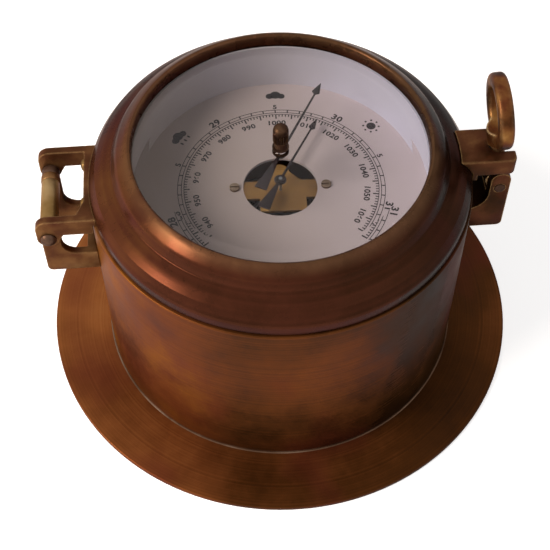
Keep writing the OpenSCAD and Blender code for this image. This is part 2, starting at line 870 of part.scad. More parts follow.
// Cross-shaped plate under the dial's window: the pointer's arbor turns in it
module bridge_plate() {
    arm_w = 8;
    lobe_r = 3.6;
    lobe_y = 8;
    body_x0 = -7.4;
    body_x1 = 9;
    body_y = -9.8;
    shoulder_x = 7.6;
    shoulder_in = 5;
    color("gold")
        difference() {
            dial_place()
                translate([0, 0, bridge_z])
                    union() {
                        for (side = [-1, 1])
                            translate([side * pillar_x, 0, 0]) cylinder(r = arm_w / 2, h = bridge_t);
                        linear_extrude(bridge_t)
                            polygon([
                                [-pillar_x, -arm_w / 2],
                                [body_x0, -arm_w / 2],
                                [body_x0, body_y],
                                [body_x1, body_y],
                                [body_x1, -arm_w / 2],
                                [pillar_x, -arm_w / 2],
                                [pillar_x, arm_w / 2],
                                [shoulder_x, arm_w / 2],
                                [lobe_r, lobe_y],
                                [-lobe_r, lobe_y],
                                [-shoulder_in, arm_w / 2],
                                [-pillar_x, arm_w / 2]
                            ]);
                        translate([0, lobe_y, 0]) cylinder(r = lobe_r, h = bridge_t);
                    }
            translate([0, 0, bridge_z - 1]) cylinder(r = arbor_r + running_gap, h = bridge_t + 2);
            at_dial_screws()
                translate([0, 0, bridge_z - 1]) cylinder(r = spigot_r + fixed_gap, h = bridge_t + 2);
        }
}

module movement_plate() {
    color("silver")
        difference() {
            translate([0, 0, plate_z]) cylinder(r = plate_d / 2, h = plate_t);
            translate([0, adjust_y, plate_z - 1])
                cylinder(r = adjust_r + running_gap, h = plate_t + 2);
        }
}

// Two pillars from the movement's plate to the dial, with a shoulder under the bridge
module pillars() {
    color(brass)
        at_dial_screws()
            difference() {
                union() {
                    translate([0, 0, plate_top_z]) cylinder(r = pillar_r, h = bridge_z - plate_top_z);
                    translate([0, 0, bridge_z - eps])
                        cylinder(r = spigot_r, h = dial_under_z - bridge_z + eps);
                }
                translate([0, 0, dial_under_z - tap_depth])
                    cylinder(r = dial_hole_r - 0.08, h = tap_depth + 1);
            }
}

// Two upright cocks on the movement's plate: the rocking shaft turns in them
module rocker_cocks() {
    color(brass)
        difference() {
            for (x0 = [-cock_x - cock_t, cock_x])
                translate([x0, -rocker_y - cock_w / 2, plate_top_z])
                    cube([cock_t, cock_w, rocker_z + cock_w / 2 - plate_top_z]);
            translate([-cock_x - 5, -rocker_y, rocker_z])
                rotate([0, 90, 0])
                    cylinder(r = rocker_r + running_gap, h = 2 * cock_x + 10);
        }
}

// Evacuated capsule: two corrugated discs on a stud, with a post that the spring pulls up
module capsule() {
    ridges = 4;
    crown_r = 6;
    rim_w = 1;
    ridge_h = 0.8;
    pitch = (capsule_r - crown_r - rim_w) / ridges;
    color("lightgray")
        union() {
            difference() {
                translate([0, 0, capsule_z]) cylinder(r = capsule_r, h = capsule_h);
                for (k = [0 : ridges - 1]) {
                    translate([0, 0, capsule_top_z - ridge_h])
                        difference() {
                            cylinder(r = crown_r + (k + 0.5) * pitch, h = ridge_h + eps);
                            translate([0, 0, -eps])
                                cylinder(r = crown_r + k * pitch, h = ridge_h + 3 * eps);
                        }
                }
            }
            translate([0, 0, plate_top_z]) cylinder(r = stud_r, h = stud_h + eps);
            translate([0, 0, capsule_top_z - eps])
                cylinder(r = stud_r, h = spring_top_z - capsule_top_z + eps);
        }
}

// Bent steel leaf from the plate round the capsule to its post
module main_spring() {
    foot_y = spring_back_y - spring_foot_l;
    color("gray")
        union() {
            rotate([0, 0, 90])
                side_plate(-spring_w / 2, spring_w / 2)
                    difference() {
                        translate([foot_y, plate_top_z])
                            square([spring_foot_l, spring_top_z + spring_t - plate_top_z]);
                        translate([foot_y - 1, plate_top_z + spring_t])
                            square([spring_foot_l + 1 - spring_t, spring_top_z - plate_top_z - spring_t]);
                    }
            translate([-spring_w / 2, spring_front_y, spring_top_z])
                cube([spring_w, foot_y + spring_foot_l / 2 - spring_front_y, spring_t]);
        }
}

// Lever on the spring, with a link that stands beside the crank of the rocking shaft
module main_lever() {
    color("silver")
        union() {
            translate([crank_x - link_r, link_y, lever_z])
                cube([2 * link_r, lever_y - link_y, lever_h]);
            translate([crank_x, link_y, lever_z])
                cylinder(r = link_r, h = rocker_z + 1 - lever_z);
        }
}

// Rocking shaft with the arm that pulls the chain and the crank that the link lifts
module rocking_shaft() {
    arm_w = 1.2;
    crank_w = 1.8;
    color("silver")
        union() {
            translate([-cock_x - cock_t - 0.4, -rocker_y, rocker_z])
                rotate([0, 90, 0])
                    cylinder(r = rocker_r, h = 2 * (cock_x + cock_t + 0.4));
            translate([-arm_w / 2, -rocker_y - arm_w / 2, rocker_z]) cube([arm_w, arm_w, rocker_arm + 1]);
            translate([crank_x - link_r - face_gap - crank_w, -rocker_y, rocker_z - 0.6])
                cube([crank_w, crank_l + 0.8, 1.2]);
        }
}

// Fine chain that runs past the side of the arm and past the side of the arbor
module chain() {
    color("silver")
        translate([chain_x - chain_w / 2, -rocker_y - 0.6, chain_z - chain_w / 2])
            cube([chain_w, rocker_y + 2.6, chain_w]);
}

// Flat spiral spring that keeps the chain taut
module hairspring() {
    turns = 3.5;
    steps = 24;
    start_r = arbor_r + 1.1;
    pitch = 1.3;
    strip = 0.35;
    last = turns * steps;
    function spiral(k, off) =
        let (a = 360 * k / steps, r = start_r + pitch * k / steps + off) [r * cos(a), r * sin(a)];
    echo(hairspring_gap = pitch - strip);
    color("silver")
        translate([0, 0, chain_z - 4.4])
            linear_extrude(0.8)
                polygon(concat(
                    [for (k = [0 : last]) spiral(k, 0)],
                    [for (k = [last : -1 : 0]) spiral(k, strip)]
                ));
}

// Slotted screw in the movement's plate, turned through the hole in the back cover
module adjusting_screw() {
    low_z = back_z + back_t + adjust_clear;
    color(brass)
        difference() {
            translate([0, adjust_y, low_z]) cylinder(r = adjust_r, h = plate_top_z + 1 - low_z);
            translate([-adjust_r, adjust_y - 0.4, low_z - eps]) cube([2 * adjust_r, 0.8, 1.4]);
        }
}

module at_back_screws() {
    for (k = [0 : back_screws - 1])
        rotate([0, 0, 45 + 360 * k / back_screws])
            translate([bore_r - back_screw_in, 0, 0]) children();
}

// Small blocks inside the foot of the drum that the back cover's screws hold in
module back_lugs() {
    color(brass)
        at_back_screws()
            difference() {
                translate([0, 0, flange_t]) cylinder(r = lug_r, h = lug_h);
                translate([0, 0, flange_t - 1])
                    cylinder(r = back_shank_r + 2 * fixed_gap, h = lug_h + 2);
            }
}

module back_cover() {
    color("black")
        difference() {
            translate([0, 0, back_z]) cylinder(r = back_r, h = back_t);
            at_back_screws()
                translate([0, 0, back_z - 1])
                    cylinder(r = back_shank_r + drop_gap, h = back_t + 2);
            translate([0, adjust_y, back_z - 1]) cylinder(d = adjust_hole_d, h = back_t + 2);
        }
}

module back_screws() {
    head_t = back_z - 0.1;
    color(brass)
        at_back_screws()
            union() {
                translate([0, 0, back_z - head_t]) cylinder(r = back_head_r, h = head_t);
                translate([0, 0, back_z - eps]) cylinder(r = back_shank_r, h = back_t + back_shank_l);
            }
}

base_flange();
drum();
mouth_ring();
dial();
dial_screws();
wall_ring();
door_ring();
gasket();
glass();
glass_keeper();
door_hinge_lug();
door_fork();
hinge_bracket();
hinge_pin();
hinge_barrel();
hinge_washer();
clasp_bracket();
clasp_pin();
swing_bolt();
eye_nut();
spindle_bush();
set_spindle();
set_hand();
set_knob();
pointer();
pointer_arbor();
bridge_plate();
movement_plate();
pillars();
rocker_cocks();
capsule();
main_spring();
main_lever();
rocking_shaft();
chain();
hairspring();
adjusting_screw();
back_lugs();
back_cover();
back_screws();
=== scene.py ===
import json
import math

import bmesh
import bpy
from mathutils import Matrix, Vector

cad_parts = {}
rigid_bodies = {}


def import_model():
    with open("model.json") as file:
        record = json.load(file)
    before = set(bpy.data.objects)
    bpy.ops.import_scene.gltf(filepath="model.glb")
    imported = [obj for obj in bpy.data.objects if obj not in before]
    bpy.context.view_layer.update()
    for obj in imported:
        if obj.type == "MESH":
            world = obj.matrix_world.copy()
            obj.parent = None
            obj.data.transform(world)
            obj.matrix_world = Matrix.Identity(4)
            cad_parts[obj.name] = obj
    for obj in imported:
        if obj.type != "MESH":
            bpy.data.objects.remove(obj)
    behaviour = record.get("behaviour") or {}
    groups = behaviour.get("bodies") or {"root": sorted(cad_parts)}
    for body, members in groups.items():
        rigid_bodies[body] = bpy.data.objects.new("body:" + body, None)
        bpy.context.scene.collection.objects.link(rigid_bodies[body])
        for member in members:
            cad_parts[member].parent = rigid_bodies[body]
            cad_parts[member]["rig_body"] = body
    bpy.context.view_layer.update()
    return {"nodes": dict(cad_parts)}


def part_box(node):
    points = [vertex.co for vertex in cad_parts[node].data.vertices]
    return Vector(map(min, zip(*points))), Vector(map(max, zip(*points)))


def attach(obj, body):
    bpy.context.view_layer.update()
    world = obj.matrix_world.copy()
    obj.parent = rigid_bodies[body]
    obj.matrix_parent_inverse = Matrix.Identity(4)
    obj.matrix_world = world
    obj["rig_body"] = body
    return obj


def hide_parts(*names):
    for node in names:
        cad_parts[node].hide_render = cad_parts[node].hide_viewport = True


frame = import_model()

# Room and camera.
# A pale table by a window on the left, with a weak lamp on the right. The window is two lamps: a
# broad one that only lights, and a lower one that only glints on the door's lip.
MM = 0.001


def linear(hex_code):
    values = []
    for start in (1, 3, 5):
        part = int(hex_code[start:start + 2], 16) / 255
        values.append(part / 12.92 if part <= 0.04045 else ((part + 0.055) / 1.055) ** 2.4)
    return (*values, 1.0)


def add(tree, kind, settings=None, links=None):
    node = tree.nodes.new(kind)
    for key, value in (settings or {}).items():
        if key == "stops":
            points = node.color_ramp.elements
            while len(points) < len(value):
                points.new(1.0)
            for point, (place, hex_code) in zip(points, value):
                point.position, point.color = place, linear(hex_code)
        elif isinstance(key, str) and hasattr(node, key):
            setattr(node, key, value)
        else:
            node.inputs[key].default_value = value
    for key, socket in (links or {}).items():
        tree.links.new(socket, node.inputs[key])
    return node


def new_tree(owner):
    owner.use_nodes = True
    owner.node_tree.nodes.clear()
    return owner.node_tree


def seen_by_eye(tree):
    path = add(tree, "ShaderNodeLightPath")
    eye_or_gloss = add(tree, "ShaderNodeMath", {"operation": "MAXIMUM"},
                       {0: path.outputs["Is Camera Ray"], 1: path.outputs["Is Glossy Ray"]})
    return add(tree, "ShaderNodeMath", {"operation": "MAXIMUM"},
               {0: eye_or_gloss.outputs[0], 1: path.outputs["Is Transmission Ray"]}).outputs[0]


# The lens, place and tilt come from fitting the object's circles to the photo.
camera_data = bpy.data.cameras.new("camera")
camera_data.lens = 78.55
camera_data.sensor_width = 36.0
camera_data.clip_start = 0.02
camera = bpy.data.objects.new("camera", camera_data)
camera.location = (-23.96 * MM, -273.85 * MM, 403.2 * MM)
camera.rotation_euler = (math.radians(35.73), 0.0, math.radians(-4.60))
bpy.context.scene.collection.objects.link(camera)
bpy.context.scene.camera = camera
bpy.context.scene.view_settings.view_transform = "Standard"

world = bpy.data.worlds.new("room")
bpy.context.scene.world = world
room = new_tree(world)
room_light = add(room, "ShaderNodeBackground", {"Color": linear("#ece8e4"), "Strength": 0.36})
room_white = add(room, "ShaderNodeBackground", {"Color": linear("#ffffff"), "Strength": 1.0})
room_mix = add(room, "ShaderNodeMixShader", None,
               {0: seen_by_eye(room), 1: room_light.outputs[0], 2: room_white.outputs[0]})
add(room, "ShaderNodeOutputWorld", None, {"Surface": room_mix.outputs[0]})


def soft_lamp(name, place, aim_height, size, energy, tint):
    data = bpy.data.lights.new(name, "AREA")
    data.shape = "DISK"
    data.size = size
    data.energy = energy
    data.color = linear(tint)[:3]
    lamp = bpy.data.objects.new(name, data)
    lamp.location = place
    away = Vector((0.0, 0.0, aim_height)) - Vector(place)
    lamp.rotation_euler = away.to_track_quat("-Z", "Y").to_euler()
    bpy.context.scene.collection.objects.link(lamp)
    return lamp


window_light = soft_lamp("window_light", (-0.86, -0.30, 0.86), 0.06, 0.6, 17.0, "#fff4ea")
window_light.visible_glossy = False
window_glint = soft_lamp("window_glint", (-1.0, -0.35, 0.64), 0.08, 0.4, 9.0, "#fff0dc")
window_glint.visible_diffuse = False
soft_lamp("fill_light", (0.8, -0.5, 0.7), 0.05, 0.9, 1.2, "#f0f0ff")

half_table, below_flange, glow_share = 3.0, 0.2 * MM, 0.66
floor_mesh = bmesh.new()
bmesh.ops.create_grid(floor_mesh, x_segments=1, y_segments=1, size=half_table)
floor_data = bpy.data.meshes.new("table_top")
floor_mesh.to_mesh(floor_data)
floor_mesh.free()
floor = bpy.data.objects.new("table_top", floor_data)
floor.location.z = -below_flange
bpy.context.scene.collection.objects.link(floor)
table_paint = bpy.data.materials.new("pale_table_top")
table = new_tree(table_paint)
table_matt = add(table, "ShaderNodeBsdfDiffuse", {"Color": linear("#efeeed")})
table_share = add(table, "ShaderNodeMath", {"operation": "MULTIPLY", 1: glow_share},
                  {0: seen_by_eye(table)})
table_glow = add(table, "ShaderNodeEmission", {"Color": linear("#ffffff")},
                 {"Strength": table_share.outputs[0]})
table_sum = add(table, "ShaderNodeAddShader", None,
                {0: table_matt.outputs[0], 1: table_glow.outputs[0]})
add(table, "ShaderNodeOutputMaterial", None, {"Surface": table_sum.outputs[0]})
floor_data.materials.append(table_paint)

# Flange, drum and mouth ring.
# Sheet and tube brass, turned on a lathe, soldered together and left to darken for decades. The
# oxide gives broad olive, golden and red-brown clouds over turning lines; painted shade darkens
# the right and painted light pales the left.


def aged_brass(name, stops, patch_mm=62.0, cloudy=1.0, lathe="radius", lathe_mm=0.9, rough=0.42,
               blush=("#5a241c", 0.45), rub=None, edge=None, pit=0.12, painted_side_shade=0.15):
    material = bpy.data.materials.new(name)
    tree = new_tree(material)
    place = add(tree, "ShaderNodeTexCoord").outputs["Object"]
    split = add(tree, "ShaderNodeSeparateXYZ", None, {0: place})
    mottle_mm, blush_mm, grain_mm = patch_mm / 6, patch_mm / 1.4, 0.7
    painted_light_x, painted_shade_x = -80, 60
    clouds = add(tree, "ShaderNodeTexNoise",
                 {"Scale": 1 / (patch_mm * MM), "Detail": 2.5, "Roughness": 0.45,
                  "Distortion": 0.2}, {"Vector": place}).outputs["Fac"]
    mottle = add(tree, "ShaderNodeTexNoise",
                 {"Scale": 1 / (mottle_mm * MM), "Detail": 6.0, "Roughness": 0.62},
                 {"Vector": place}).outputs["Fac"]
    grain = add(tree, "ShaderNodeTexNoise", {"Scale": 1 / (grain_mm * MM), "Detail": 3.0},
                {"Vector": place}).outputs["Fac"]
    clouds = add(tree, "ShaderNodeMapRange",
                 {"To Min": 0.5 - cloudy / 2, "To Max": 0.5 + cloudy / 2},
                 {"Value": clouds}).outputs[0]
    tone = add(tree, "ShaderNodeMix", {"data_type": "FLOAT", 0: 0.17},
               {2: clouds, 3: mottle}).outputs[0]
    # Painted shade and light: the tone is raised on the left, towards the window, and lowered on
    # the right, away from it.
    side = add(tree, "ShaderNodeMapRange",
               {"From Min": painted_light_x * MM, "From Max": painted_shade_x * MM,
                "To Min": 0.5 * painted_side_shade, "To Max": -painted_side_shade},
               {"Value": split.outputs["X"]}).outputs[0]
    tone = add(tree, "ShaderNodeMath", {"operation": "ADD"}, {0: tone, 1: side}).outputs[0]
    height = grain
    if lathe:
        # The real turning lines are about 0.2 mm apart; they are drawn at about 1 mm to show.
        flat = add(tree, "ShaderNodeCombineXYZ", None,
                   {"X": split.outputs["X"], "Y": split.outputs["Y"]})
        radius = add(tree, "ShaderNodeVectorMath", {"operation": "LENGTH"},
                     {0: flat.outputs[0]}).outputs["Value"]
        both = add(tree, "ShaderNodeMath", {"operation": "ADD"},
                   {0: radius, 1: split.outputs["Z"]}).outputs[0]
        along = {"radius": radius, "height": split.outputs["Z"], "both": both}[lathe]
        lines = add(tree, "ShaderNodeTexNoise",
                    {"noise_dimensions": "1D", "Scale": 1 / (lathe_mm * MM), "Detail": 3.0,
                     "Roughness": 0.7}, {"W": along}).outputs["Fac"]
        tone = add(tree, "ShaderNodeMix", {"data_type": "FLOAT", 0: 0.12},
                   {2: tone, 3: lines}).outputs[0]
        height = add(tree, "ShaderNodeMix", {"data_type": "FLOAT", 0: 0.7},
                     {2: grain, 3: lines}).outputs[0]
    color = add(tree, "ShaderNodeValToRGB", {"stops": stops}, {"Fac": tone}).outputs["Color"]
    if blush:
        red, share = blush
        bloom = add(tree, "ShaderNodeTexNoise",
                    {"noise_dimensions": "4D", "W": 7.0, "Scale": 1 / (blush_mm * MM),
                     "Detail": 3.0}, {"Vector": place}).outputs["Fac"]
        reach = add(tree, "ShaderNodeMapRange",
                    {"From Min": 0.5, "From Max": 0.66, "To Max": share,
                     "interpolation_type": "SMOOTHSTEP"}, {"Value": bloom}).outputs[0]
        color = add(tree, "ShaderNodeMix", {"data_type": "RGBA", 7: linear(red)},
                    {0: reach, 6: color}).outputs[2]
    if rub:
        low_mm, high_mm, pale, share = rub
        reach = add(tree, "ShaderNodeMapRange",
                    {"From Min": low_mm * MM, "From Max": high_mm * MM, "To Max": share,
                     "interpolation_type": "SMOOTHSTEP"}, {"Value": split.outputs["Z"]}).outputs[0]
        worn = add(tree, "ShaderNodeMath", {"operation": "MULTIPLY"},
                   {0: reach, 1: mottle}).outputs[0]
        color = add(tree, "ShaderNodeMix", {"data_type": "RGBA", 7: linear(pale)},
                    {0: worn, 6: color}).outputs[2]
    if edge:
        pale, share, edge_mm = edge
        soft = add(tree, "ShaderNodeBevel", {"samples": 4, "Radius": edge_mm * MM}).outputs[0]
        hard = add(tree, "ShaderNodeNewGeometry").outputs["True Normal"]
        agree = add(tree, "ShaderNodeVectorMath", {"operation": "DOT_PRODUCT"},
                    {0: soft, 1: hard}).outputs["Value"]
        reach = add(tree, "ShaderNodeMapRange",
                    {"From Min": 0.99, "From Max": 0.9, "To Max": 2 * share},
                    {"Value": agree}).outputs[0]
        worn = add(tree, "ShaderNodeMath", {"operation": "MULTIPLY"},
                   {0: reach, 1: mottle}).outputs[0]
        color = add(tree, "ShaderNodeMix", {"data_type": "RGBA", 7: linear(pale)},
                    {0: worn, 6: color}).outputs[2]
    gloss = add(tree, "ShaderNodeMapRange",
                {"From Min": 0.3, "From Max": 0.75, "To Min": rough - 0.07,
                 "To Max": rough + 0.12}, {"Value": mottle}).outputs[0]
    bump = add(tree, "ShaderNodeBump", {"Strength": pit, "Distance": 0.12 * MM},
               {"Height": height}).outputs[0]
    shader = add(tree, "ShaderNodeBsdfPrincipled",
                 {"Metallic": 0.62, "Specular IOR Level": 0.22, "Specular Tint": linear("#8f6f50")},
                 {"Base Color": color, "Roughness": gloss, "Normal": bump})
    add(tree, "ShaderNodeOutputMaterial", None, {"Surface": shader.outputs[0]})
    return material


def finish_piece(name, bm, node, material, sharp_deg=30.0):
    data = bpy.data.meshes.new(name)
    bm.to_mesh(data)
    bm.free()
    data.shade_smooth()
    data.set_sharp_from_angle(angle=math.radians(sharp_deg))
    data.materials.append(material)
    piece = bpy.data.objects.new(name, data)
    bpy.context.scene.collection.objects.link(piece)
    if node:
        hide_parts(node)
        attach(piece, frame["nodes"][node]["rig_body"])
    return piece


# A corner is its radius, its height and, where it is rounded, how far off the rounding starts.
def turned(name, corners, node, material, steps=144, sharp_deg=30.0):
    bm = bmesh.new()
    section = [bm.verts.new((corner[0] * MM, 0.0, corner[1] * MM)) for corner in corners]
    bm.faces.new(section)
    for vert, corner in zip(section, corners):
        if len(corner) > 2:
            bmesh.ops.bevel(bm, geom=[vert], offset=corner[2] * MM, offset_type="OFFSET",
                            segments=6, profile=0.5, affect="VERTICES", material=-1)
    bmesh.ops.delete(bm, geom=bm.faces[:], context="FACES_ONLY")
    bmesh.ops.spin(bm, geom=bm.verts[:] + bm.edges[:], cent=(0, 0, 0), axis=(0, 0, 1),
                   angle=2 * math.pi, steps=steps, use_merge=True, use_duplicate=False)
    bmesh.ops.remove_doubles(bm, verts=bm.verts[:], dist=1e-7)
    bmesh.ops.recalc_face_normals(bm, faces=bm.faces[:])
    return finish_piece(name, bm, node, material, sharp_deg)


flange_brass = aged_brass("aged_turned_brass_flange", [
    (0.24, "#25150b"), (0.38, "#47270f"), (0.50, "#6b3c1d"), (0.60, "#88512a"),
    (0.76, "#9f6b3c")], cloudy=0.6, painted_side_shade=0.2)
flange_bore_r, flange_low_round, flange_top_round = 65.5, 0.4, 0.6
flange_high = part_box("base_flange")[1]
flange_r, flange_top = flange_high.x / MM, flange_high.z / MM
turned("flange", [(flange_bore_r, 0), (flange_r, 0, flange_low_round),
                  (flange_r, flange_top, flange_top_round), (flange_bore_r, flange_top)],
       "base_flange", flange_brass)

drum_brass = aged_brass("aged_turned_brass_drum", [
    (0.24, "#23150a"), (0.38, "#3c2410"), (0.50, "#683a1c"), (0.60, "#86521e"),
    (0.78, "#a07b56")], cloudy=0.6, lathe="height", lathe_mm=1.1, painted_side_shade=0.22)
wall_t, rim_round = 2, 0.5
drum_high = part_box("drum")[1]
drum_r, drum_top = drum_high.x / MM, drum_high.z / MM
turned("drum_wall", [(drum_r - wall_t, flange_top), (drum_r, flange_top),
                     (drum_r, drum_top, rim_round), (drum_r - wall_t, drum_top)],
       "drum", drum_brass)

ledge_r, ledge_top, mouth_r, mouth_out_r, mouth_round = 51, 72.5, 56.15, 65.48, 0.4
mouth_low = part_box("mouth_ring")[0].z / MM
turned("mouth_turning", [(ledge_r, mouth_low), (mouth_out_r, mouth_low), (mouth_out_r, drum_top),
                         (mouth_r, drum_top, mouth_round), (mouth_r, ledge_top),
                         (ledge_r, ledge_top)], "mouth_ring", drum_brass)

# Solder fillet.
# A narrow bead of solder in the corner between the drum and the flange, scraped smooth and
# left brighter than the sheet, so that it shows as a thin light line.
fillet_metal = aged_brass("scraped_solder_bead", [
    (0.26, "#3e2b20"), (0.5, "#5e4737"), (0.76, "#86705f")], patch_mm=20.0, lathe=None,
    rough=0.34, blush=None)
bead_w, bead_h, bead_root, bead_sunk = 0.6, 0.7, 0.5, 0.2
fillet = turned("solder_fillet", [
    (drum_r - bead_root, flange_top - bead_sunk), (drum_r + bead_w, flange_top - bead_sunk),
    (drum_r + bead_w, flange_top + 0.05), (drum_r + 0.2, flange_top + 0.2),
    (drum_r + 0.05, flange_top + bead_h), (drum_r - bead_root, flange_top + bead_h)],
    None, fillet_metal)
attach(fillet, "case")

# Door ring and glass keeper.
# A heavy brass casting turned all over: an upright side, a crisp edge, a sloping shoulder, and a
# raised lip that hands have rubbed. It gives dark red-brown metal with a narrow, soft highlight.
door_brass = aged_brass("aged_turned_brass_door", [
    (0.24, "#1f1109"), (0.38, "#311a0f"), (0.50, "#462418"), (0.62, "#5c371d"),
    (0.78, "#7a5630")], cloudy=0.7, lathe="both", lathe_mm=0.8, rough=0.27,
    blush=("#421917", 0.35), rub=(96.0, 99.5, "#7a5c40", 0.5), painted_side_shade=0.12)
low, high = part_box("door_ring")
foot, door_r, crest = low.z / MM, high.x / MM, high.z / MM
groove_in_r, groove_out_r, groove_h = 58.4, 61.4, 1.2
keeper_seat_r, glass_seat_r, sight_r = 55, 53.15, 50.9
keeper_seat_z, glass_seat_z = foot + 12.4, foot + 14.6
turned("door_casting", [
    (keeper_seat_r, foot), (groove_in_r, foot), (groove_in_r, foot + groove_h),
    (groove_out_r, foot + groove_h), (groove_out_r, foot), (door_r, foot, 0.3),
    (door_r, foot + 4.2, 0.8), (door_r - 2.3, foot + 7.8, 0.15), (61.6, foot + 10.0, 1.5),
    (58.25, foot + 11.6, 0.25), (57.5, foot + 13.4, 0.8), (56.5, crest - 3.7, 0.9),
    (53.1, crest - 0.55, 1.2), (52.1, crest, 0.5), (51.2, crest - 0.55, 0.4),
    (sight_r, crest - 1.76, 0.4), (sight_r, glass_seat_z), (glass_seat_r, glass_seat_z),
    (glass_seat_r, keeper_seat_z), (keeper_seat_r, keeper_seat_z)],
    "door_ring", door_brass, steps=180, sharp_deg=24.0)
keeper_in_r, keeper_out_r = 52, 54.98
low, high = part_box("glass_keeper")
turned("keeper_ring", [(keeper_in_r, low.z / MM), (keeper_out_r, low.z / MM),
                       (keeper_out_r, high.z / MM), (keeper_in_r, high.z / MM)],
       "glass_keeper", door_brass)

# Gasket.
# A black rubber ring, moulded and pressed into the groove of the door's foot. It gives a dull
# black with a dusty bloom.
rubber = bpy.data.materials.new("black_moulded_rubber")
tree = new_tree(rubber)
bloom_mm = 3.846
bloom = add(tree, "ShaderNodeTexNoise", {"Scale": 1 / (bloom_mm * MM), "Detail": 4.0},
            {"Vector": add(tree, "ShaderNodeTexCoord").outputs["Object"]}).outputs["Fac"]
dust = add(tree, "ShaderNodeValToRGB", {"stops": [(0.3, "#121212"), (0.7, "#262524")]},
           {"Fac": bloom})
skin = add(tree, "ShaderNodeBump", {"Strength": 0.1, "Distance": 0.1 * MM}, {"Height": bloom})
shader = add(tree, "ShaderNodeBsdfPrincipled", {"Roughness": 0.75},
             {"Base Color": dust.outputs["Color"], "Normal": skin.outputs[0]})
add(tree, "ShaderNodeOutputMaterial", None, {"Surface": shader.outputs[0]})
low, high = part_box("gasket")
turned("door_gasket", [(groove_in_r, low.z / MM), (groove_out_r, low.z / MM),
                       (groove_out_r, high.z / MM), (groove_in_r, high.z / MM)],
       "gasket", rubber)

# Glass.
# A disc of clear plate glass with a hole for the bush. Its edge is ground to a wide bevel and
# polished, so the dial's scale shows doubled through the bevel. A faint smear dulls the top.
clear = bpy.data.materials.new("clear_plate_glass")
tree = new_tree(clear)
smear_mm = 28.57
smear = add(tree, "ShaderNodeTexNoise", {"Scale": 1 / (smear_mm * MM), "Detail": 5.0},
            {"Vector": add(tree, "ShaderNodeTexCoord").outputs["Object"]}).outputs["Fac"]
haze = add(tree, "ShaderNodeMapRange",
           {"From Min": 0.4, "From Max": 0.8, "To Min": 0.0, "To Max": 0.04},
           {"Value": smear}).outputs[0]
pane = add(tree, "ShaderNodeBsdfPrincipled",
           {"Base Color": linear("#fbfcfc"), "IOR": 1.5, "Transmission Weight": 1.0,
            "Specular Tint": linear("#6e5f5c")}, {"Roughness": haze})
through = add(tree, "ShaderNodeBsdfTransparent", {"Color": linear("#f6f8f7")})
path = add(tree, "ShaderNodeLightPath")
unseen = add(tree, "ShaderNodeMath", {"operation": "MAXIMUM"},
             {0: path.outputs["Is Shadow Ray"], 1: path.outputs["Is Diffuse Ray"]})
mixed = add(tree, "ShaderNodeMixShader", None,
            {0: unseen.outputs[0], 1: pane.outputs[0], 2: through.outputs[0]})
add(tree, "ShaderNodeOutputMaterial", None, {"Surface": mixed.outputs[0]})
low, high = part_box("glass")
glass_r, glass_low, glass_top = high.x / MM, low.z / MM, high.z / MM
glass_hole_r, bevel_w, edge_h, edge_round = 2.3, 8.0, 2.2, 0.3
turned("bevelled_glass", [
    (glass_hole_r, glass_low), (glass_r, glass_low), (glass_r, glass_low + edge_h, edge_round),
    (glass_r - bevel_w, glass_top), (glass_hole_r, glass_top)],
    "glass", clear, sharp_deg=4.0)

# Dial and wall.
# An aluminium plate and a thin wall, both sprayed with matt off-white enamel. Painted shade makes
# the left a darker warm grey and painted light the right a paler mauve, over clouds of age too weak
# to notice at once.


def enamel(name, pale, dull):
    material = bpy.data.materials.new(name)
    tree = new_tree(material)
    place = add(tree, "ShaderNodeTexCoord").outputs["Object"]
    age_mm, skin_mm, painted_light_half_x = 41.67, 0.5556, 45
    age = add(tree, "ShaderNodeTexNoise", {"Scale": 1 / (age_mm * MM), "Detail": 4.0},
              {"Vector": place}).outputs["Fac"]
    skin = add(tree, "ShaderNodeTexNoise", {"Scale": 1 / (skin_mm * MM), "Detail": 2.0},
               {"Vector": place}).outputs["Fac"]
    # Painted shade and light: the colour runs from dull and warm on the left, where the rim shades
    # it, to pale and mauve on the right, where the window lights it.
    across = add(tree, "ShaderNodeSeparateXYZ", None, {0: place}).outputs["X"]
    side = add(tree, "ShaderNodeMapRange", {"From Min": -painted_light_half_x * MM, "From Max": painted_light_half_x * MM},
               {"Value": across}).outputs[0]
    tone = add(tree, "ShaderNodeMix", {"data_type": "FLOAT", 0: 0.6}, {2: age, 3: side}).outputs[0]
    tint = add(tree, "ShaderNodeValToRGB", {"stops": [(0.2, dull), (0.85, pale)]}, {"Fac": tone})
    sheen = add(tree, "ShaderNodeMapRange", {"To Min": 0.45, "To Max": 0.58}, {"Value": age})
    bump = add(tree, "ShaderNodeBump", {"Strength": 0.04, "Distance": 0.05 * MM},
               {"Height": skin})
    shader = add(tree, "ShaderNodeBsdfPrincipled", {"Specular IOR Level": 0.3},
                 {"Base Color": tint.outputs["Color"], "Roughness": sheen.outputs[0],
                  "Normal": bump.outputs[0]})
    add(tree, "ShaderNodeOutputMaterial", None, {"Surface": shader.outputs[0]})
    return material


def coat(node, material):
    data = frame["nodes"][node].data
    data.materials.clear()
    data.materials.append(material)


coat("dial", enamel("matt_off_white_enamel_dial", "#b7a9b0", "#93837b"))
coat("wall_ring", enamel("matt_off_white_enamel_wall", "#bab7cc", "#a89c96"))

